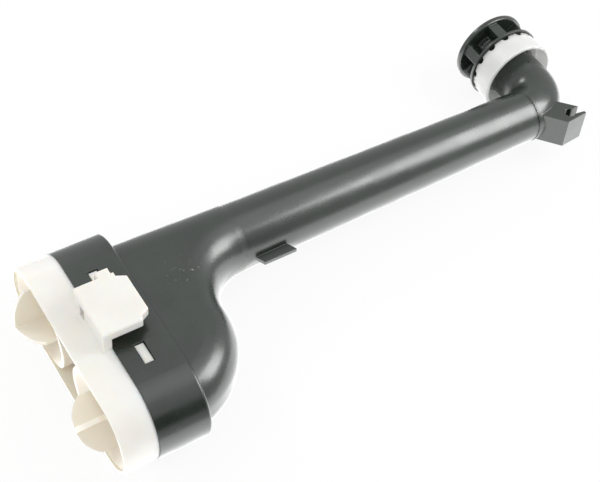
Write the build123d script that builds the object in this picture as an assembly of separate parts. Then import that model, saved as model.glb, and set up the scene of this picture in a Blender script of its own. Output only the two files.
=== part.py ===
from build123d import *
from math import asin, cos, radians, sin, sqrt
import os

# Wash arm holder of a dishwasher's upper basket, lying on its flat side.
# While it is built, x runs along the pipe from the mouth plane, y along the row of ports and
# z across the flat sides, with z = 0 in the middle. The finished pieces are then moved
# together so that the origin is under the middle of the whole.

# Inlet ports
port_spacing = 50.0
port_bore_r = 12.2
port_funnel_depth = 7.0
port_lip_wall = 1.2

# Sleeve of the feed pipe, an obround collar round the inlet cap
sleeve_half_width = 17.4
sleeve_end_spacing = 58.0
sleeve_wall = 2.4
sleeve_front_x = 13.5
sleeve_back_x = 34.0
sleeve_back_wall = 2.5
sleeve_back_round = 1.2

# Manifold behind the sleeve
bulb_r = 33.6
bulb_centre_x = 27.0
bulb_centre_y = -8.8
manifold_start_half = 15.5
manifold_end_flat = 0.55
manifold_lip = 0.05
pipe_wall = 2.2

# Tapered tube, elbow and outlet neck
tube_drop = 0.5
tube_start_r = 13.4
tube_end_r = 10.9
elbow_r = 11.2
elbow_inner_r = 1.1
outlet_x = 236.0
neck_r = 11.0
neck_end = 30.5
neck_bead_r = 11.9
neck_bead_height = 0.9

# Fin on the tube's lower side
fin_start_x = 84.0
fin_length = 14.0
fin_height = 3.8
fin_lean = 2.6
fin_thickness = 1.8

# Wire clip beside the elbow, sizes from the outlet axis
clip_half_height = 7.2
clip_wire_r = 2.2
clip_seat_x = 0.9
clip_seat_drop = 13.0
clip_throat_width = 2.7
clip_mouth_width = 3.7
clip_mouth_drop = 13.9
clip_tip_x_high = 6.2
clip_tip_x_low = 7.2
clip_tip_drop_high = 11.6
clip_tip_drop_low = 16.3
clip_heel_x = 2.9
clip_heel_drop = 17.3
clip_root_x = 11.4
clip_root_angle = 35.0

# Inlet cap
cap_rim_half = 15.6
cap_rim_spacing = 62.0
cap_band_half = 16.9
cap_rim_wall = 1.5
cap_lip_recess = 0.9
cap_seat_x = 12.0
cap_skirt_wall = 1.7
cap_skirt_end_x = 31.0
cap_skirt_clearance = 0.1
cap_pocket_end_x = 10.0

# Snap hooks of the cap in their windows in the sleeve
hook_x = 22.2
hook_length = 3.4
hook_width = 8.4
hook_y = 18.2
hook_sink = 0.5
window_clearance = 0.3

# Hook plate on the cap
plate_start_x = 10.3
plate_end_x = 29.6
plate_half_width = 11.9
plate_y = 0.7
plate_top = 26.0
plate_thickness = 3.8
plate_corner_x = 3.6
plate_corner_y = 3.6
plate_corner_round = 1.0
plate_lug_x = 22.4
plate_lug_length = 5.2
plate_lug_reach = 2.8
plate_leg_width = 5.0
plate_window_width = 3.4
plate_edge_round = 0.8
plate_foot_round = 1.4

# Check valves
valve_clearance = 0.3
valve_wing_count = 3
valve_wing_thickness = 2.0
valve_shoulder_x = -1.6
valve_tip_x = -8.5
valve_wing_bulge = 1.6
valve_disc_lip = 0.7
valve_disc_thickness = 2.0
valve_travel = 7.0
valve_stop_thickness = 2.0
valve_stop_reach = 7.5

# Outlet hub, heights from the tube axis
hub_disc_r = 17.0
hub_disc_thickness = 1.1
hub_flange_base = 40.0
hub_top = 42.7
hub_flange_r = 16.8
hub_flange_round_top = 1.0
hub_flange_round_low = 0.7
hub_core_r = 10.0
hub_roof = 2.4
hub_rib_count = 6
hub_rib_turn = 22.0
hub_rib_width = 4.4
hub_rib_r = 15.4
hub_window_width = 5.0
hub_window_margin = 0.7
hub_spigot_length = 4.0
hub_spigot_wall = 1.3
hub_spigot_clearance = 0.05

# Ring nut, heights from the tube axis
ring_low = 19.5
ring_low_r = 17.3
ring_top = 30.2
ring_top_r = 16.2
ring_wall = 1.6
ring_web_top = 28.5
ring_web_thickness = 1.6
ring_running_clearance = 0.08
ring_axial_clearance = 0.3
ring_notch_count = 14
ring_notch_r = 1.6
ring_notch_turn = 2.6

# Lap of neighbouring cuts, so that no skin is left between them
cut_lap = 0.01

# Worked out from the sizes above
port_y = port_spacing / 2
tube_y = port_y - tube_drop
elbow_bend_r = elbow_r + elbow_inner_r
bend_start_x = outlet_x - elbow_bend_r
manifold_end_half = tube_start_r + manifold_lip
manifold_round = manifold_end_half - manifold_end_flat
throat_r = tube_y - manifold_end_half - bulb_centre_y
throat_end_x = bulb_centre_x + bulb_r + throat_r
sleeve_inner_half = sleeve_half_width - sleeve_wall
sleeve_pocket_end_x = sleeve_back_x - sleeve_back_wall
skirt_half = sleeve_inner_half - cap_skirt_clearance
skirt_inner_half = skirt_half - cap_skirt_wall
rim_inner_half = cap_rim_half - cap_rim_wall
port_funnel_spacing = cap_rim_spacing - port_spacing
valve_wing_r = port_bore_r - valve_clearance
valve_disc_r = port_bore_r + valve_disc_lip
valve_disc_x = cap_seat_x + valve_clearance
valve_stop_x = valve_disc_x + valve_disc_thickness + valve_travel + valve_clearance
ring_web_base = ring_web_top - ring_web_thickness


def obround(x, half_width, end_spacing=sleeve_end_spacing):
    """Obround face in the plane x, with its long axis along y."""
    return Plane.YZ.offset(x) * SlotCenterToCenter(end_spacing, 2 * half_width)


def obround_block(x_start, x_end, half_width, end_spacing=sleeve_end_spacing):
    return extrude(obround(x_start, half_width, end_spacing), x_end - x_start)


def block(x_range, y_range, z_range):
    """Box between two values on each axis."""
    sizes = [high - low for low, high in (x_range, y_range, z_range)]
    middle = [(high + low) / 2 for low, high in (x_range, y_range, z_range)]
    return Pos(*middle) * Box(*sizes)


def along_x(x, y):
    """Plane across the pipe at x, on the line through y."""
    return Plane(origin=(x, y, 0), x_dir=(0, 1, 0), z_dir=(1, 0, 0))


def along_outlet(height):
    """Plane across the outlet axis, this far from the tube axis."""
    return Plane(origin=(outlet_x, tube_y + height, 0), x_dir=(1, 0, 0), z_dir=(0, 1, 0))


def tube_radius(x):
    share = (x - throat_end_x) / (bend_start_x - throat_end_x)
    return tube_start_r + share * (tube_end_r - tube_start_r)


def manifold(inset, start_x):
    """Rounded body that gathers both ports into the tube, drawn in plan and rounded over."""
    bulb = bulb_r - inset
    throat = throat_r + inset
    end_x = throat_end_x
    low_y = tube_y - manifold_end_half + inset
    high_y = tube_y + manifold_end_half - inset
    start_y = bulb_centre_y - sqrt(bulb**2 - (start_x - bulb_centre_x)**2)
    waist = (bulb_centre_x + bulb, bulb_centre_y)
    turn = asin((start_x - bulb_centre_x) / bulb) / 2 - radians(45)
    bulb_middle = (bulb_centre_x + bulb * cos(turn), bulb_centre_y + bulb * sin(turn))
    throat_middle = (end_x - throat * cos(radians(45)), bulb_centre_y + throat * sin(radians(45)))
    outline = [
        ThreePointArc((start_x, start_y), bulb_middle, waist),
        ThreePointArc(waist, throat_middle, (end_x, low_y)),
        Polyline((end_x, low_y), (end_x, high_y), (start_x, high_y), (start_x, start_y)),
    ]
    plan = extrude(make_face(outline), manifold_start_half, both=True)
    start_half = manifold_start_half - inset
    end_half = manifold_end_half - inset
    side = Plane.XZ * Polygon((start_x, -start_half), (end_x, -end_half), (end_x, end_half),
                              (start_x, start_half), align=None)
    body = plan & extrude(side, port_spacing + bulb_r, both=True)
    flats = body.faces().sort_by(Axis.Z)
    rims = [e for f in (flats[0], flats[-1]) for e in f.edges()
            if start_x + cut_lap < e.center().X < end_x - cut_lap]
    return fillet(rims, manifold_round - inset)


def pipe_run(inset):
    """Tapered tube, elbow and neck, as one round bar of the given inset from the outside."""
    lap = pipe_wall
    tube = along_x(throat_end_x - lap, tube_y) * Cone(
        tube_radius(throat_end_x - lap) - inset, tube_end_r - inset, bend_start_x - throat_end_x + lap,
        align=(Align.CENTER, Align.CENTER, Align.MIN))
    hinge_line = Axis((bend_start_x, tube_y + elbow_bend_r, 0), (0, 0, 1))
    elbow = revolve(along_x(bend_start_x, tube_y) * Circle(elbow_r - inset), hinge_line, 90)
    neck = extrude(along_outlet(elbow_bend_r) * Circle(neck_r - inset), neck_end - elbow_bend_r)
    return tube + elbow + neck


def fin():
    root_y = tube_y - tube_radius(fin_start_x + fin_length)
    tip_y = tube_y - tube_radius(fin_start_x) - fin_height
    tip_x = fin_start_x + fin_lean
    outline = Polygon((fin_start_x, root_y + pipe_wall / 2), (tip_x, tip_y), (tip_x + fin_length, tip_y),
                      (fin_start_x + fin_length, root_y + pipe_wall / 2), align=None)
    return extrude(outline, fin_thickness / 2, both=True)


def wire_clip():
    """Hooked clip that snaps on a basket wire, open away from the mouth."""
    seat = (outlet_x + clip_seat_x, tube_y - clip_seat_drop)
    tip_high = (outlet_x + clip_tip_x_high, tube_y - clip_tip_drop_high)
    tip_low = (outlet_x + clip_tip_x_low, tube_y - clip_tip_drop_low)
    root_depth = sqrt(elbow_r**2 - clip_half_height**2) - pipe_wall / 2
    root_turn = radians(clip_root_angle)
    elbow_root = (bend_start_x + (elbow_bend_r + root_depth) * sin(root_turn),
                  tube_y + elbow_bend_r - (elbow_bend_r + root_depth) * cos(root_turn))
    outline = Polygon(
        (outlet_x - clip_root_x, tube_y - root_depth),
        (outlet_x - clip_heel_x, tube_y - clip_heel_drop),
        tip_low, tip_high, elbow_root, align=None)
    mouth_x = outlet_x + clip_tip_x_low + clip_mouth_width
    mouth_y = tube_y - clip_mouth_drop
    slot = Polygon((seat[0], seat[1] - clip_throat_width / 2), (mouth_x, mouth_y - clip_mouth_width / 2),
                   (mouth_x, mouth_y + clip_mouth_width / 2), (seat[0], seat[1] + clip_throat_width / 2),
                   align=None)
    return extrude(outline - slot - Pos(*seat) * Circle(clip_wire_r), clip_half_height, both=True)


def snap_places():
    """Side of the part and y of each snap hook."""
    return [(side, y) for side in (1, -1) for y in (-hook_y, hook_y)]


def on_side(side, low, high):
    """Range in z between two distances from the middle, on the upper or the lower side."""
    return sorted((side * low, side * high))


def feed_pipe():
    sleeve = obround_block(sleeve_front_x, sleeve_back_x, sleeve_half_width)
    back_edges = sleeve.faces().sort_by(Axis.X)[-1].edges()
    sleeve = fillet(back_edges, sleeve_back_round)
    outside = sleeve + manifold(0, sleeve_pocket_end_x) + pipe_run(0) + fin() + wire_clip()
    bead = extrude(along_outlet(ring_web_base - ring_axial_clearance - neck_bead_height)
                   * Circle(neck_bead_r), neck_bead_height)
    outside = outside + bead
    pipe = outside - obround_block(sleeve_front_x, sleeve_pocket_end_x, sleeve_inner_half)
    pipe = pipe - manifold(pipe_wall, sleeve_pocket_end_x - cut_lap) - pipe_run(pipe_wall)
    half_x = hook_length / 2 + window_clearance
    half_y = hook_width / 2 + window_clearance
    for side, y in snap_places():
        z_range = on_side(side, sleeve_inner_half - sleeve_wall / 2, sleeve_half_width + sleeve_wall)
        pipe = pipe - block((hook_x - half_x, hook_x + half_x), (y - half_y, y + half_y), z_range)
    stop_half = skirt_inner_half - valve_clearance
    stop_end_x = sleeve_back_x + sleeve_back_wall
    for y in (port_y, -port_y):
        y_range = (y - valve_stop_thickness / 2, y + valve_stop_thickness / 2)
        for side in (1, -1):
            stop = block((valve_stop_x, stop_end_x), y_range, on_side(side, valve_stop_reach, stop_half))
            grip = manifold_start_half - pipe_wall / 2
            root = block((sleeve_pocket_end_x, stop_end_x), y_range, on_side(side, valve_stop_reach, grip))
            pipe = pipe + stop + root
    return pipe


def hook_plate():
    """Plate on a front wall over the sleeve, with stepped back corners and a small side lug."""
    y_low = plate_y - plate_half_width
    y_high = plate_y + plate_half_width
    corner_x = plate_end_x - plate_corner_x
    outline = Polygon((plate_start_x, y_low), (corner_x, y_low),
                      (corner_x, y_low + plate_corner_y / 2), (plate_end_x, y_low + plate_corner_y),
                      (plate_end_x, y_high - plate_corner_y), (corner_x, y_high - plate_corner_y / 2),
                      (corner_x, y_high), (plate_start_x, y_high), align=None)
    lug = Pos(plate_lug_x, y_high) * Rectangle(plate_lug_length, 2 * plate_lug_reach)
    outline = outline + lug
    corners = [v for v in outline.vertices() if v.Y < plate_y and v.X > sleeve_front_x]
    outline = fillet(corners, plate_corner_round)
    plate = extrude(Plane.XY.offset(plate_top - plate_thickness) * outline, plate_thickness)
    plate = fillet(plate.faces().sort_by(Axis.Z)[-1].edges(), plate_edge_round)
    wall = block((plate_start_x, sleeve_front_x), (y_low, y_high),
                 (rim_inner_half, plate_top - plate_thickness))
    return plate + wall


def port_funnel(y):
    """Funnel from the inside of the rim down to the bore of one port."""
    mouth = along_x(0, y) * SlotCenterToCenter(port_funnel_spacing, 2 * rim_inner_half)
    bottom = along_x(port_funnel_depth, y) * SlotCenterToCenter(cut_lap, 2 * port_bore_r)
    return loft([mouth, bottom], ruled=True)


def inlet_cap():
    band = loft([obround(0, cap_rim_half, cap_rim_spacing), obround(sleeve_front_x, cap_band_half)],
                ruled=True)
    cap = band + hook_plate()
    foot = cap.edges().filter_by(Axis.Y).sort_by_distance((plate_start_x, plate_y, cap_band_half))[0]
    cap = fillet(foot, plate_foot_round)
    window_y = plate_y + plate_half_width - plate_leg_width
    cap = cap - block((plate_start_x - plate_foot_round, sleeve_front_x + cut_lap),
                      (window_y - plate_window_width, window_y),
                      (cap_band_half, plate_top - plate_thickness))
    cap = cap + obround_block(sleeve_front_x, cap_skirt_end_x, skirt_half)
    cap = cap - obround_block(cap_seat_x, cap_skirt_end_x, skirt_inner_half)
    cap = cap - obround_block(0, cap_lip_recess, rim_inner_half, cap_rim_spacing)
    pocket = block((0, cap_pocket_end_x), (-port_y, port_y), (-rim_inner_half, rim_inner_half))
    for y in (port_y, -port_y):
        lip = along_x(0, y) * SlotCenterToCenter(port_funnel_spacing, 2 * (rim_inner_half + port_lip_wall))
        pocket = pocket - extrude(lip, cap_pocket_end_x)
    cap = cap - pocket
    for y in (port_y, -port_y):
        cap = cap - port_funnel(y) - extrude(along_x(0, y) * Circle(port_bore_r), cap_seat_x)
    for side, y in snap_places():
        z_range = on_side(side, skirt_half - cap_skirt_wall / 2, sleeve_half_width - hook_sink)
        cap = cap + block((hook_x - hook_length / 2, hook_x + hook_length / 2),
                          (y - hook_width / 2, y + hook_width / 2), z_range)
    return cap


def check_valve(port_side):
    """Three-winged valve with a sealing disc, one wing turned to the middle of the mouth."""
    y = port_side * port_y
    wing_outline = [
        Line((valve_tip_x, 0), (valve_disc_x, 0)),
        Line((valve_disc_x, 0), (valve_disc_x, valve_wing_r)),
        Line((valve_disc_x, valve_wing_r), (valve_shoulder_x, valve_wing_r)),
        SagittaArc((valve_shoulder_x, valve_wing_r), (valve_tip_x, 0), -valve_wing_bulge),
    ]
    wing = extrude(make_face(wing_outline), valve_wing_thickness / 2, both=True)
    first_turn = 180 if port_side > 0 else 0
    wings = None
    for i in range(valve_wing_count):
        turned = Rot(first_turn + 360 / valve_wing_count * i, 0, 0) * wing
        wings = turned if wings is None else wings + turned
    disc = extrude(along_x(valve_disc_x, 0) * Circle(valve_disc_r), valve_disc_thickness)
    return Pos(0, y, 0) * (wings + disc)


def spool_profile(points):
    """Solid turned about the outlet axis from (radius, height) points."""
    plane = Plane(origin=(outlet_x, tube_y, 0), x_dir=(1, 0, 0), z_dir=(0, 0, 1))
    axis = Axis((outlet_x, tube_y, 0), (0, 1, 0))
    return revolve(plane * Polygon(*points, align=None), axis, 360)


def outlet_hub():
    neck_bore_r = neck_r - pipe_wall
    spigot_r = neck_bore_r - hub_spigot_clearance
    disc_top = neck_end + hub_disc_thickness
    flange = extrude(along_outlet(hub_flange_base) * Circle(hub_flange_r), hub_top - hub_flange_base)
    flange = fillet(flange.edges().group_by(Axis.Y)[-1], hub_flange_round_top)
    flange = fillet(flange.edges().group_by(Axis.Y)[0], hub_flange_round_low)
    hub = flange + extrude(along_outlet(neck_end) * Circle(hub_disc_r), hub_disc_thickness)
    hub = hub + extrude(along_outlet(neck_end) * Circle(hub_core_r), hub_flange_base - neck_end)
    hub = hub + extrude(along_outlet(neck_end - hub_spigot_length) * Circle(spigot_r), hub_spigot_length)
    rib_height = hub_flange_base - disc_top
    rib_plane = along_outlet(disc_top)
    window_height = rib_height - 2 * hub_window_margin
    windows = []
    for i in range(hub_rib_count):
        turn = 360 / hub_rib_count * i + hub_rib_turn
        rib = Pos(hub_rib_r / 2, 0, rib_height / 2) * Box(hub_rib_r, hub_rib_width, rib_height)
        hub = hub + rib_plane * Rot(0, 0, turn) * rib
        window = Pos(hub_core_r / 2, 0, rib_height / 2) * Box(
            hub_core_r + cut_lap, hub_window_width, window_height)
        windows.append(rib_plane * Rot(0, 0, turn + 180 / hub_rib_count) * window)
    hub = hub - extrude(along_outlet(neck_end - hub_spigot_length) * Circle(spigot_r - hub_spigot_wall),
                        hub_top - hub_roof - neck_end + hub_spigot_length)
    for window in windows:
        hub = hub - window
    return hub


def ring_nut():
    slope = (ring_low_r - ring_top_r) / (ring_top - ring_low)
    inner_top_r = ring_low_r - ring_wall - slope * (ring_web_base - ring_low)
    bore_r = neck_r + ring_running_clearance
    ring = spool_profile([
        (ring_low_r - ring_wall, ring_low), (ring_low_r, ring_low), (ring_top_r, ring_top),
        (ring_top_r - ring_wall, ring_top), (ring_top_r - ring_wall, ring_web_top),
        (bore_r, ring_web_top), (bore_r, ring_web_base), (inner_top_r, ring_web_base)])
    notch = Pos(ring_top_r - ring_wall / 2, 0, 0) * Rot(0, 90, 0) * Cylinder(ring_notch_r, 2 * ring_wall)
    for i in range(ring_notch_count):
        turn = 360 / ring_notch_count * i + ring_notch_turn
        ring = ring - along_outlet(ring_top) * Rot(0, 0, turn) * notch
    return ring


pieces = {
    "feed_pipe": feed_pipe(),
    "inlet_cap": inlet_cap(),
    "upper_valve": check_valve(1),
    "lower_valve": check_valve(-1),
    "outlet_hub": outlet_hub(),
    "ring_nut": ring_nut(),
}
box = pieces["feed_pipe"].bounding_box()
for shape in pieces.values():
    box = box.add(shape.bounding_box())
to_origin = Pos(-(box.min.X + box.max.X) / 2, -(box.min.Y + box.max.Y) / 2, -box.min.Z)
os.makedirs("parts", exist_ok=True)
for name, shape in pieces.items():
    export_step(to_origin * shape, f"parts/{name}.step")
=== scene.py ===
import math

import bpy
from bpy.props import FloatProperty, FloatVectorProperty, PointerProperty
from bpy.types import Operator, Panel, PropertyGroup
from mathutils import Matrix, Vector


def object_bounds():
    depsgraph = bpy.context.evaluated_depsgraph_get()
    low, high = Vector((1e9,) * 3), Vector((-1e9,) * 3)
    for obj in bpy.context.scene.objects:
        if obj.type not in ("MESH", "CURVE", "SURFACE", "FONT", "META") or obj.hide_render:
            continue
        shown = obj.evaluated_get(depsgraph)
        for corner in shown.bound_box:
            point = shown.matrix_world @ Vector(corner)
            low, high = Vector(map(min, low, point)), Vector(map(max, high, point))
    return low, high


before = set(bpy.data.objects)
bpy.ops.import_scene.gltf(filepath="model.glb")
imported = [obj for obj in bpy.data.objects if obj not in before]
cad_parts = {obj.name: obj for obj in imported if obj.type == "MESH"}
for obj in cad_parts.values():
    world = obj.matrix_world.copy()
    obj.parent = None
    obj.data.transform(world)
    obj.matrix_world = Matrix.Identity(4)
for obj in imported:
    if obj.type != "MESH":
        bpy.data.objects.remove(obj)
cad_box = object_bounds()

bl_info = {
    "name": "Wash Arm Holder",
    "version": (1, 0, 0),
    "blender": (4, 5, 0),
    "location": "View3D > Sidebar > Wash Arm Holder",
    "description": "Moulded plastic finishes and a white studio for a dishwasher wash arm holder",
    "category": "Object",
}

PHOTO_WIDTH_PX = 600
PHOTO_FOCAL_PX = 1392.1
SENSOR_WIDTH_MM = 36.0

# Obround mouth of the inlet cap in metres, inside which warm bounce light is painted: its middle
# on the docking face, and how its half width and its straight half length change with the depth.
MOUTH_MIDDLE = (-0.1224, -0.0103, 0.0174)
MOUTH_HALF_WIDTH, MOUTH_WIDENING = 0.0156, 0.0963
MOUTH_HALF_LENGTH, MOUTH_SHORTENING = 0.031, 0.148
# Where the step to the painted warm bounce light inside the mouth starts and ends, in widths of the rim.
MOUTH_STEP = (0.4, 1.4)

# Sizes of clouds, specks and streaks are in metres. Their noise runs from 0 to 1, and limits are the
# values between which it fades in. Dark, light and shade are factors on a colour, and yellowing is
# how much more of a tint's warmth is taken from blue than from green.
CLOUD_LIMITS = (0.3, 0.7)
PIPE_CLOUD_SIZE = 0.03
PIPE_DARK, PIPE_LIGHT = 0.86, 1.14
PIPE_GLOSS_SIZE = 0.012
PIPE_ROUGHNESS = (0.24, 0.32)
PIPE_IOR = 1.62
SPECK_SIZE = 0.0009
SPECK_LIMITS = (0.62, 0.8)
SPECK_SHARE, SPECK_LIGHT = 0.25, 1.8
STREAK_SIZE, STREAK_BREAKUP = 0.0016, 0.65
STREAK_LIMITS = (0.62, 0.69)
SCUFF_ROUGHNESS = 0.25
PALE_CLOUD_SIZE = 0.02
PALE_CLOUD_LIMITS = (0.35, 0.7)
PALE_SHADE, PALE_YELLOWING = 0.97, 2.5
PALE_GLOSS_SIZE = 0.008
PALE_ROUGHNESS = (0.34, 0.44)
PALE_IOR = 1.5

# Worn edges: how well the rounded normal agrees with the true one where wear starts and is full.
WORN_LIMITS = (0.98, 0.8)
WORN_SHARE, WORN_LIGHT = 0.35, 2.4
EDGE_SAMPLES = 8
# Share of its reach in which a rubbed spot or a soft seam is full.
SCUFF_CORE, SEAM_CORE = 0.25, 0.3

# Pale plastics: warmth of their cloudy tint, how far each colour of light wanders, and its share.
IVORY = {"warmth": 0.012, "spread": (1.0, 0.75, 0.45), "glow": 0.5}
WHITE = {"warmth": 0.004, "spread": (2.0, 2.0, 2.0), "glow": 0.9}

# Studio: number of sides of the round floor, and in metres the gap under the black card, the light
# table's place along Y and its height over the floor, and the nearest point that the camera sees.
FLOOR_SIDES = 96
CARD_GAP = 0.02
GLOW_SHIFT, GLOW_LIFT = -0.01, 0.0002
CAMERA_NEAR = 0.01
PURE_WHITE, PURE_BLACK = (1.0, 1.0, 1.0, 1.0), (0.0, 0.0, 0.0, 1.0)


class HolderFinish(PropertyGroup):
    """Colours and surface sizes of the three plastics."""

    pipe_colour: FloatVectorProperty(
        name="Pipe colour", description="Anthracite of the feed pipe and the outlet hub",
        subtype="COLOR", size=3, min=0.0, max=1.0, default=(0.0155, 0.0225, 0.0178))
    cap_colour: FloatVectorProperty(
        name="Cap colour", description="Ivory of the inlet cap and the check valves",
        subtype="COLOR", size=3, min=0.0, max=1.0, default=(0.86, 0.85, 0.815))
    # Painted warm bounce light: a warmer ivory inside the mouth that stands in for light bounced around the
    # hollow.
    mouth_bounce_colour: FloatVectorProperty(
        name="Mouth colour", description="Warmer ivory inside the inlet mouth",
        subtype="COLOR", size=3, min=0.0, max=1.0, default=(0.895, 0.84, 0.745))
    # The rim's step runs from the ivory's own colour to the painted warm bounce light.
    mouth_rim: FloatProperty(
        name="Mouth rim", description="Width of the step from the outer to the inner ivory on the rim",
        unit="LENGTH", min=0.0001, default=0.0009)
    glow_depth: FloatProperty(
        name="Glow depth", description="How far light wanders inside the pale plastics",
        unit="LENGTH", min=0.0, default=0.003)
    ring_colour: FloatVectorProperty(
        name="Ring colour", description="White of the ring nut",
        subtype="COLOR", size=3, min=0.0, max=1.0, default=(0.81, 0.81, 0.795))
    scuff_colour: FloatVectorProperty(
        name="Scuff colour", description="Pale rubbing marks on the anthracite plastic",
        subtype="COLOR", size=3, min=0.0, max=1.0, default=(0.32, 0.32, 0.31))
    edge_round: FloatProperty(
        name="Edge rounding", description="Radius of the rounding that the pale mouldings' edges have",
        unit="LENGTH", min=0.0, default=0.0003)
    pipe_edge_round: FloatProperty(
        name="Pipe edge rounding",
        description="Radius of the rounding that the dark mouldings' edges have",
        unit="LENGTH", min=0.0, default=0.0004)
    seam_places: FloatVectorProperty(
        name="Seam places", description="Where the tube runs into the manifold and into the elbow",
        unit="LENGTH", size=2, default=(-0.042, 0.1013))
    seam_round: FloatProperty(
        name="Seam rounding", description="Radius of the soft steps at the two ends of the tube",
        unit="LENGTH", min=0.0, default=0.003)
    grain_size: FloatProperty(
        name="Grain size", description="Width of the fine spark-eroded grain of the mould",
        unit="LENGTH", min=0.00005, default=0.00035)
    grain_height: FloatProperty(
        name="Grain height", description="Height of the fine grain",
        unit="LENGTH", min=0.0, default=0.000006)
    ripple_size: FloatProperty(
        name="Ripple size", description="Width of the slow waves that shrinkage leaves",
        unit="LENGTH", min=0.001, default=0.012)
    ripple_height: FloatProperty(
        name="Ripple height", description="Height of the slow waves",
        unit="LENGTH", min=0.0, default=0.00002)
    scuff_place: FloatVectorProperty(
        name="Scuff place", description="Middle of the rubbed spot on the manifold",
        subtype="TRANSLATION", unit="LENGTH", size=3, default=(-0.0703, -0.0005, 0.0312))
    scuff_reach: FloatProperty(
        name="Scuff reach", description="How far the rubbed spot spreads",
        unit="LENGTH", min=0.001, default=0.010)


class HolderStage(PropertyGroup):
    """Camera, lamps, floor and surroundings."""

    camera_place: FloatVectorProperty(
        name="Camera place", description="Where the camera stands",
        subtype="TRANSLATION", unit="LENGTH", size=3, default=(-0.21929, -0.28057, 0.43207))
    camera_aim: FloatVectorProperty(
        name="Camera aim", description="Point that the camera looks at",
        subtype="TRANSLATION", unit="LENGTH", size=3, default=(-0.01832, 0.00027, 0.0174))
    camera_roll: FloatProperty(
        name="Camera roll", description="Turn of the camera about its line of sight",
        subtype="ANGLE", default=math.radians(5.54))
    dome_level: FloatProperty(
        name="Dome level", description="Light of the white surroundings on matt surfaces",
        min=0.0, default=0.75)
    glow_length: FloatProperty(
        name="Table glow length", description="Length of the light table that shows in reflections",
        unit="LENGTH", min=0.1, default=0.42)
    glow_width: FloatProperty(
        name="Table glow width", description="Width of the light table that shows in reflections",
        unit="LENGTH", min=0.1, default=0.19)
    glow_level: FloatProperty(
        name="Table glow level", description="Brightness of the light table in reflections",
        min=0.0, default=1.95)
    key_direction: FloatVectorProperty(
        name="Key direction", description="Direction from the object to the key softbox",
        subtype="DIRECTION", size=3, default=(0.68, -0.36, 0.64))
    key_distance: FloatProperty(
        name="Key distance", description="Distance of the key softbox",
        unit="LENGTH", min=0.1, default=0.62)
    key_size: FloatProperty(
        name="Key size", description="Side of the key softbox", unit="LENGTH", min=0.01, default=0.34)
    key_power: FloatProperty(
        name="Key power", description="Power of the key softbox", unit="POWER", min=0.0, default=1.6)
    sheen_distance: FloatProperty(
        name="Sheen distance",
        description="Distance of the lamp that the tube mirrors, in the key direction",
        unit="LENGTH", min=0.1, default=0.426)
    sheen_size: FloatProperty(
        name="Sheen size", description="Side of the lamp that the tube mirrors",
        unit="LENGTH", min=0.01, default=0.26)
    sheen_power: FloatProperty(
        name="Sheen power", description="Power of the lamp that the tube mirrors, in reflections only",
        unit="POWER", min=0.0, default=1.25)
    rear_direction: FloatVectorProperty(
        name="Rear direction", description="Direction from the object to the rear softbox",
        subtype="DIRECTION", size=3, default=(-0.21, 0.79, 0.58))
    rear_distance: FloatProperty(
        name="Rear distance", description="Distance of the rear softbox",
        unit="LENGTH", min=0.1, default=0.9)
    rear_size: FloatProperty(
        name="Rear size", description="Side of the rear softbox", unit="LENGTH", min=0.01, default=0.16)
    rear_power: FloatProperty(
        name="Rear power", description="Power of the rear softbox", unit="POWER", min=0.0, default=1.6)
    fill_direction: FloatVectorProperty(
        name="Fill direction", description="Direction from the object to the softbox before the mouth",
        subtype="DIRECTION", size=3, default=(-0.93, -0.12, 0.35))
    fill_distance: FloatProperty(
        name="Fill distance", description="Distance of the softbox before the mouth",
        unit="LENGTH", min=0.1, default=0.6)
    fill_size: FloatProperty(
        name="Fill size", description="Side of the softbox before the mouth",
        unit="LENGTH", min=0.01, default=0.2)
    fill_power: FloatProperty(
        name="Fill power", description="Power of the softbox before the mouth",
        unit="POWER", min=0.0, default=0.28)
    top_direction: FloatVectorProperty(
        name="Top direction", description="Direction from the object to the bright patch overhead",
        subtype="DIRECTION", size=3, default=(0.32, 0.05, 0.945))
    top_reach: FloatProperty(
        name="Top reach", description="Half the angle that the bright patch overhead spans",
        subtype="ANGLE", min=0.0, default=math.radians(27.0))
    top_sheen: FloatProperty(
        name="Top sheen", description="Added brightness of the patch overhead, in reflections only",
        min=0.0, default=1.1)
    floor_colour: FloatVectorProperty(
        name="Floor colour", description="Colour of the white floor",
        subtype="COLOR", size=3, min=0.0, max=1.0, default=(0.95, 0.95, 0.95))
    floor_radius: FloatProperty(
        name="Floor radius", description="Radius of the round floor", unit="LENGTH", min=0.5, default=3.0)
    floor_shadow: FloatProperty(
        name="Floor shadow", description="Share of the floor's white that a shadow can take away",
        subtype="FACTOR", min=0.0, max=1.0, default=0.10)
    flag_distance: FloatProperty(
        name="Flag distance", description="Distance of the black card in front of the object",
        unit="LENGTH", min=0.5, default=0.9)
    flag_shift: FloatProperty(
        name="Flag shift", description="How far the black card stands along the pipe",
        unit="LENGTH", default=-0.35)
    flag_width: FloatProperty(
        name="Flag width", description="Width of the black card", unit="LENGTH", min=0.1, default=1.3)
    flag_height: FloatProperty(
        name="Flag height", description="Height of the black card", unit="LENGTH", min=0.1, default=0.55)


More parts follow.
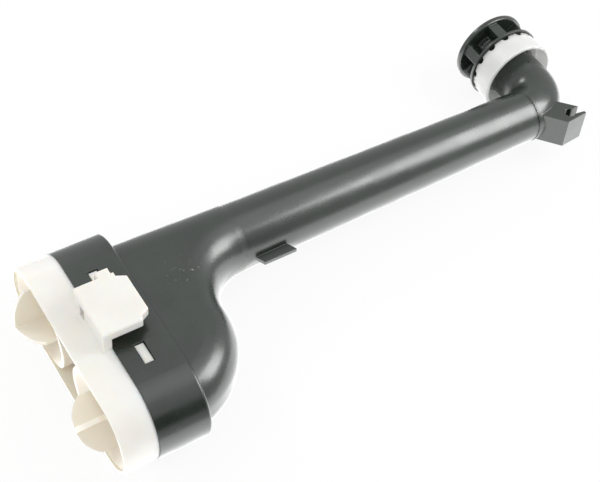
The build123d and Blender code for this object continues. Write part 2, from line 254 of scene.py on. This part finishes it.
class Nodes:
    """The node tree of one material or world, with short calls to add and join nodes."""

    def __init__(self, owner):
        owner.use_nodes = True
        self.tree = owner.node_tree
        self.tree.nodes.clear()

    def add(self, kind, inputs=None, **settings):
        """New node. Each input takes a value, or a link from another node's output."""
        node = self.tree.nodes.new(kind)
        for name, value in settings.items():
            setattr(node, name, value)
        for name, value in (inputs or {}).items():
            if isinstance(value, bpy.types.NodeSocket):
                self.tree.links.new(value, node.inputs[name])
            else:
                node.inputs[name].default_value = value
        return node

    def math(self, operation, *values):
        """Result of one operation on numbers."""
        return self.add("ShaderNodeMath", dict(enumerate(values)), operation=operation).outputs[0]

    def vector_math(self, operation, first, second, result="Value"):
        """Result of one operation on two vectors."""
        node = self.add("ShaderNodeVectorMath", {0: first, 1: second}, operation=operation)
        return node.outputs[result]

    def noise(self, place, size, detail=2.0, roughness=0.5):
        """Cloudy noise from 0 to 1, with clouds of this size in metres."""
        return self.add("ShaderNodeTexNoise", {
            "Vector": place, "Scale": 1.0 / size, "Detail": detail, "Roughness": roughness}).outputs["Fac"]

    def ramp(self, value, low, high, out_low=0.0, out_high=1.0):
        """Smooth step from one value to another while the input goes from low to high."""
        return self.add("ShaderNodeMapRange", {
            "Value": value, "From Min": low, "From Max": high, "To Min": out_low, "To Max": out_high},
            interpolation_type="SMOOTHSTEP").outputs["Result"]

    def blend(self, share, first, second):
        """Colour between two colours, whose sockets are the seventh and the eighth."""
        return self.add("ShaderNodeMix", {0: share, 6: first, 7: second}, data_type="RGBA").outputs[2]

    def surface(self, shader):
        """Shows a shader on the material."""
        self.add("ShaderNodeOutputMaterial", {"Surface": shader})


def new_material(name):
    """New material, and its empty node tree."""
    material = bpy.data.materials.new(name)
    return material, Nodes(material)


def shade(colour, factor=1.0):
    """The colour as RGBA, lightened or darkened by a factor."""
    return (*(min(1.0, part * factor) for part in colour), 1.0)


def moulded_normal(nodes, place, finish, edge_round):
    """Normal with rounded edges, and the same with slow shrinkage waves and fine mould grain."""
    edges = nodes.add("ShaderNodeBevel", {"Radius": edge_round}, samples=EDGE_SAMPLES).outputs["Normal"]
    waves = nodes.add("ShaderNodeBump", {
        "Height": nodes.noise(place, finish.ripple_size), "Distance": finish.ripple_height,
        "Normal": edges})
    grain = nodes.add("ShaderNodeBump", {
        "Height": nodes.noise(place, finish.grain_size, detail=3.0), "Distance": finish.grain_height,
        "Normal": waves.outputs["Normal"]})
    return edges, grain.outputs["Normal"]


def worn_edge(nodes, edges):
    """1 on edges, 0 on flats: how far the rounded normal leans from the true one."""
    true_normal = nodes.add("ShaderNodeNewGeometry").outputs["Normal"]
    return nodes.ramp(nodes.vector_math("DOT_PRODUCT", edges, true_normal), *WORN_LIMITS)


def soft_seams(nodes, place, finish):
    """Edge radius of the dark mouldings, larger where the tube runs into the manifold and the elbow."""
    along = nodes.add("ShaderNodeSeparateXYZ", {0: place}).outputs["X"]
    from_seams = [nodes.math("ABSOLUTE", nodes.math("SUBTRACT", along, seam))
                  for seam in finish.seam_places]
    return nodes.ramp(nodes.math("MINIMUM", *from_seams), finish.seam_round, finish.seam_round * SEAM_CORE,
                      finish.pipe_edge_round, finish.seam_round)


def rubbing_marks(nodes, place, finish):
    """1 on the streaks of the rubbed spot on the manifold, 0 elsewhere."""
    offset = nodes.vector_math("DISTANCE", place, finish.scuff_place)
    near = nodes.ramp(offset, finish.scuff_reach, finish.scuff_reach * SCUFF_CORE)
    streaks = nodes.noise(place, STREAK_SIZE, detail=4.0, roughness=STREAK_BREAKUP)
    return nodes.math("MULTIPLY", nodes.ramp(streaks, *STREAK_LIMITS), near)


def anthracite_plastic(finish):
    """Dark satin moulding with cloudy tone, fine grain, worn edges and a rubbed spot on the manifold."""
    material, nodes = new_material("anthracite_plastic")
    place = nodes.add("ShaderNodeTexCoord").outputs["Object"]
    edges, normal = moulded_normal(nodes, place, finish, soft_seams(nodes, place, finish))
    body = finish.pipe_colour
    clouds = nodes.ramp(nodes.noise(place, PIPE_CLOUD_SIZE, detail=3.0), *CLOUD_LIMITS)
    colour = nodes.blend(clouds, shade(body, PIPE_DARK), shade(body, PIPE_LIGHT))
    specks = nodes.ramp(nodes.noise(place, SPECK_SIZE), *SPECK_LIMITS, 0.0, SPECK_SHARE)
    colour = nodes.blend(specks, colour, shade(body, SPECK_LIGHT))
    scuffs = rubbing_marks(nodes, place, finish)
    colour = nodes.blend(scuffs, colour, shade(finish.scuff_colour))
    wear = nodes.math("MULTIPLY", worn_edge(nodes, edges), WORN_SHARE)
    colour = nodes.blend(wear, colour, shade(body, WORN_LIGHT))
    gloss_clouds = nodes.noise(place, PIPE_GLOSS_SIZE, detail=4.0)
    roughness = nodes.math("ADD", nodes.ramp(gloss_clouds, *CLOUD_LIMITS, *PIPE_ROUGHNESS),
                           nodes.math("MULTIPLY", scuffs, SCUFF_ROUGHNESS))
    shader = nodes.add("ShaderNodeBsdfPrincipled", {
        "Base Color": colour, "Roughness": roughness, "IOR": PIPE_IOR, "Normal": normal})
    nodes.surface(shader.outputs["BSDF"])
    return material


def inside_mouth(nodes, place, rim):
    """1 inside the obround mouth of the inlet cap, where warm bounce light is painted, 0 on the outside of
    its wall.
    """
    offset = nodes.vector_math("SUBTRACT", place, MOUTH_MIDDLE, "Vector")
    depth, across, height = nodes.add("ShaderNodeSeparateXYZ", {0: offset}).outputs
    half_length = nodes.math("SUBTRACT", MOUTH_HALF_LENGTH, nodes.math("MULTIPLY", depth, MOUTH_SHORTENING))
    half_width = nodes.math("ADD", MOUTH_HALF_WIDTH, nodes.math("MULTIPLY", depth, MOUTH_WIDENING))
    beyond = nodes.math("SUBTRACT", nodes.math("ABSOLUTE", across), half_length)
    round_end = nodes.math("POWER", nodes.math("MAXIMUM", beyond, 0.0), 2.0)
    reach = nodes.math("SQRT", nodes.math("ADD", round_end, nodes.math("MULTIPLY", height, height)))
    start, end = MOUTH_STEP
    return nodes.ramp(nodes.math("SUBTRACT", half_width, reach), start * rim, end * rim)


def pale_plastic(name, colour, inner_bounce_colour, finish, warmth, spread, glow):
    """Pale satin moulding that lets a little light through, with painted warm bounce light inside the
    mouth.
    """
    material, nodes = new_material(name)
    place = nodes.add("ShaderNodeTexCoord").outputs["Object"]
    normal = moulded_normal(nodes, place, finish, finish.edge_round)[1]
    clouds = nodes.ramp(nodes.noise(place, PALE_CLOUD_SIZE, detail=3.0), *PALE_CLOUD_LIMITS)
    fading = (PALE_SHADE, PALE_SHADE - warmth, PALE_SHADE - PALE_YELLOWING * warmth)
    tint = [part * factor for part, factor in zip(colour, fading)]
    body = nodes.blend(clouds, shade(colour), shade(tint))
    # Painted warm bounce light inside the mouth, in place of the light that the hollow bounces around.
    body = nodes.blend(inside_mouth(nodes, place, finish.mouth_rim), body, shade(inner_bounce_colour))
    gloss_clouds = nodes.noise(place, PALE_GLOSS_SIZE, detail=4.0)
    roughness = nodes.ramp(gloss_clouds, *CLOUD_LIMITS, *PALE_ROUGHNESS)
    shader = nodes.add("ShaderNodeBsdfPrincipled", {
        "Base Color": body, "Roughness": roughness, "IOR": PALE_IOR, "Normal": normal,
        "Subsurface Weight": glow, "Subsurface Radius": spread, "Subsurface Scale": finish.glow_depth})
    nodes.surface(shader.outputs["BSDF"])
    return material


def dress(node, material):
    """Gives a carried-over node its finish."""
    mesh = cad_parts[node].data
    mesh.materials.clear()
    mesh.materials.append(material)


def plastic(kind, context):
    """The named plastic, made the first time that it is asked for."""
    found = bpy.data.materials.get(kind)
    if found and found.get("holder_finish"):
        return found
    if found:
        found.name = kind + "_carried"
    finish = context.scene.holder_finish
    if kind == "anthracite_plastic":
        material = anthracite_plastic(finish)
    elif kind == "ivory_plastic":
        material = pale_plastic(kind, finish.cap_colour, finish.mouth_bounce_colour, finish, **IVORY)
    else:
        material = pale_plastic(kind, finish.ring_colour, finish.ring_colour, finish, **WHITE)
    material["holder_finish"] = True
    return material


class HOLDER_OT_feed_pipe(Operator):
    """Finish the anthracite feed pipe"""

    bl_idname = "holder.feed_pipe"
    bl_label = "Feed Pipe"

    def execute(self, context):
        dress("feed_pipe", plastic("anthracite_plastic", context))
        return {"FINISHED"}


class HOLDER_OT_inlet_cap(Operator):
    """Finish the ivory inlet cap"""

    bl_idname = "holder.inlet_cap"
    bl_label = "Inlet Cap"

    def execute(self, context):
        dress("inlet_cap", plastic("ivory_plastic", context))
        return {"FINISHED"}


class HOLDER_OT_check_valves(Operator):
    """Finish the two winged check valves"""

    bl_idname = "holder.check_valves"
    bl_label = "Check Valves"

    def execute(self, context):
        for node in ("upper_valve", "lower_valve"):
            dress(node, plastic("ivory_plastic", context))
        return {"FINISHED"}


class HOLDER_OT_outlet_hub(Operator):
    """Finish the spool-shaped outlet hub"""

    bl_idname = "holder.outlet_hub"
    bl_label = "Outlet Hub"

    def execute(self, context):
        dress("outlet_hub", plastic("anthracite_plastic", context))
        return {"FINISHED"}


class HOLDER_OT_ring_nut(Operator):
    """Finish the scalloped ring nut"""

    bl_idname = "holder.ring_nut"
    bl_label = "Ring Nut"

    def execute(self, context):
        dress("ring_nut", plastic("white_plastic", context))
        return {"FINISHED"}


def white_for_eyes_and_gloss(nodes):
    """1 for rays that come from the camera, a reflection or a clear piece."""
    path = nodes.add("ShaderNodeLightPath")
    seen = nodes.math("MAXIMUM", path.outputs["Is Camera Ray"], path.outputs["Is Glossy Ray"])
    return nodes.math("MAXIMUM", seen, path.outputs["Is Transmission Ray"])


def white_world(scene, stage):
    """White surroundings at a plain level on matt surfaces, with a soft bright patch for gloss."""
    scene.world = bpy.data.worlds.new("white_surroundings")
    nodes = Nodes(scene.world)
    white = nodes.ramp(white_for_eyes_and_gloss(nodes), 0.0, 1.0, stage.dome_level, 1.0)
    towards = nodes.add("ShaderNodeTexCoord").outputs["Generated"]
    overhead = Vector(stage.top_direction).normalized()
    agreement = nodes.vector_math("DOT_PRODUCT", towards, overhead)
    patch = nodes.ramp(agreement, math.cos(stage.top_reach), math.cos(stage.top_reach / 2),
                       0.0, stage.top_sheen)
    gloss = nodes.add("ShaderNodeLightPath").outputs["Is Glossy Ray"]
    strength = nodes.math("ADD", white, nodes.math("MULTIPLY", patch, gloss))
    background = nodes.add("ShaderNodeBackground", {"Color": PURE_WHITE, "Strength": strength})
    nodes.add("ShaderNodeOutputWorld", {"Surface": background.outputs["Background"]})


def floor_material(stage):
    """White floor that keeps a faint shadow."""
    material, nodes = new_material("studio_floor")
    matt = nodes.add("ShaderNodeBsdfDiffuse", {"Color": shade(stage.floor_colour)})
    glow = nodes.add("ShaderNodeEmission", {"Color": PURE_WHITE, "Strength": 1.0})
    share = nodes.math("MULTIPLY", white_for_eyes_and_gloss(nodes), 1.0 - stage.floor_shadow)
    mix = nodes.add("ShaderNodeMixShader", {0: share, 1: matt.outputs["BSDF"], 2: glow.outputs["Emission"]})
    nodes.surface(mix.outputs["Shader"])
    return material


def new_mesh(name, points, faces, material):
    """Object in the scene with these points and faces."""
    mesh = bpy.data.meshes.new(name)
    mesh.from_pydata(points, [], faces)
    mesh.materials.append(material)
    obj = bpy.data.objects.new(name, mesh)
    bpy.context.scene.collection.objects.link(obj)
    return obj


def lay_floor(stage):
    """Round white floor at the height that the object lies on."""
    turns = [2 * math.pi * side / FLOOR_SIDES for side in range(FLOOR_SIDES)]
    radius = stage.floor_radius
    points = [(radius * math.cos(turn), radius * math.sin(turn), 0.0) for turn in turns]
    floor = new_mesh("studio_floor", points, [tuple(range(FLOOR_SIDES))], floor_material(stage))
    floor.location.z = cad_box[0].z


def stand_flag(stage):
    """Black card that only reflections see, in front of the object."""
    material, nodes = new_material("black_card")
    matt = nodes.add("ShaderNodeBsdfDiffuse", {"Color": PURE_BLACK})
    nodes.surface(matt.outputs["BSDF"])
    half = stage.flag_width / 2
    top = stage.flag_height
    points = [(-half, 0.0, 0.0), (half, 0.0, 0.0), (half, 0.0, top), (-half, 0.0, top)]
    card = new_mesh("black_card", points, [(0, 1, 2, 3)], material)
    card.location = (stage.flag_shift, -stage.flag_distance, CARD_GAP)
    card.visible_camera = False
    card.visible_diffuse = False
    card.visible_shadow = False


def new_lamp(name, shape, size, power, sheen_only):
    """Flat lamp that the camera doesn't see, seen in reflections only if so asked."""
    lamp = bpy.data.lights.new(name, "AREA")
    lamp.shape = shape
    lamp.size = size
    lamp.energy = power
    obj = bpy.data.objects.new(name, lamp)
    bpy.context.scene.collection.objects.link(obj)
    obj.visible_camera = False
    obj.visible_diffuse = not sheen_only
    return obj


def hang_softbox(name, direction, distance, size, power, sheen_only=False):
    """Square lamp that faces the middle of the object."""
    obj = new_lamp(name, "SQUARE", size, power, sheen_only)
    middle = (cad_box[0] + cad_box[1]) / 2
    away = Vector(direction).normalized()
    obj.location = middle + away * distance
    obj.rotation_euler = (-away).to_track_quat("-Z", "Y").to_euler()


def lay_table_glow(stage):
    """Light table just above the floor, which only reflections see."""
    power = stage.glow_level * math.pi * stage.glow_length * stage.glow_width
    obj = new_lamp("table_glow", "RECTANGLE", stage.glow_length, power, True)
    obj.data.size_y = stage.glow_width
    obj.location = (0.0, GLOW_SHIFT, cad_box[0].z + GLOW_LIFT)
    obj.rotation_euler = (math.pi, 0.0, 0.0)


def place_camera(scene, stage):
    """Camera with the photograph's focal length."""
    data = bpy.data.cameras.new("camera")
    data.sensor_width = SENSOR_WIDTH_MM
    data.lens = PHOTO_FOCAL_PX / PHOTO_WIDTH_PX * SENSOR_WIDTH_MM
    data.clip_start = CAMERA_NEAR
    camera = bpy.data.objects.new("camera", data)
    scene.collection.objects.link(camera)
    sight = Vector(stage.camera_aim) - Vector(stage.camera_place)
    turn = sight.to_track_quat("-Z", "Y").to_matrix().to_4x4() @ Matrix.Rotation(stage.camera_roll, 4, "Z")
    camera.matrix_world = Matrix.Translation(stage.camera_place) @ turn
    scene.camera = camera


class HOLDER_OT_stage(Operator):
    """Set up the white floor, the lamps and the camera"""

    bl_idname = "holder.stage"
    bl_label = "Studio"

    def execute(self, context):
        scene = context.scene
        stage = scene.holder_stage
        scene.view_settings.view_transform = "Standard"
        white_world(scene, stage)
        lay_floor(stage)
        stand_flag(stage)
        lay_table_glow(stage)
        key = (stage.key_direction, stage.key_distance, stage.key_size)
        hang_softbox("key_softbox", *key, stage.key_power)
        sheen = (stage.key_direction, stage.sheen_distance, stage.sheen_size)
        hang_softbox("sheen_softbox", *sheen, stage.sheen_power, sheen_only=True)
        rear = (stage.rear_direction, stage.rear_distance, stage.rear_size)
        hang_softbox("rear_softbox", *rear, stage.rear_power)
        fill = (stage.fill_direction, stage.fill_distance, stage.fill_size)
        hang_softbox("fill_softbox", *fill, stage.fill_power)
        place_camera(scene, stage)
        return {"FINISHED"}


OPERATORS = (
    HOLDER_OT_feed_pipe,
    HOLDER_OT_inlet_cap,
    HOLDER_OT_check_valves,
    HOLDER_OT_outlet_hub,
    HOLDER_OT_ring_nut,
    HOLDER_OT_stage,
)


class HOLDER_PT_panel(Panel):
    """Lists the finishes and the steps that dress the holder"""

    bl_idname = "HOLDER_PT_panel"
    bl_label = "Wash Arm Holder"
    bl_space_type = "VIEW_3D"
    bl_region_type = "UI"
    bl_category = "Wash Arm Holder"

    def draw(self, context):
        column = self.layout.column(align=True)
        for operator in OPERATORS:
            column.operator(operator.bl_idname)
        for group in (context.scene.holder_finish, context.scene.holder_stage):
            box = self.layout.box()
            for name in group.bl_rna.properties.keys():
                if name not in ("rna_type", "name"):
                    box.prop(group, name)


CLASSES = (HolderFinish, HolderStage, *OPERATORS, HOLDER_PT_panel)


def register():
    for cls in CLASSES:
        bpy.utils.register_class(cls)
    bpy.types.Scene.holder_finish = PointerProperty(type=HolderFinish)
    bpy.types.Scene.holder_stage = PointerProperty(type=HolderStage)


def unregister():
    del bpy.types.Scene.holder_stage
    del bpy.types.Scene.holder_finish
    for cls in reversed(CLASSES):
        bpy.utils.unregister_class(cls)


def main():
    register()
    bpy.ops.holder.feed_pipe()
    bpy.ops.holder.inlet_cap()
    bpy.ops.holder.check_valves()
    bpy.ops.holder.outlet_hub()
    bpy.ops.holder.ring_nut()
    bpy.ops.holder.stage()


if __name__ == "__main__":
    main()
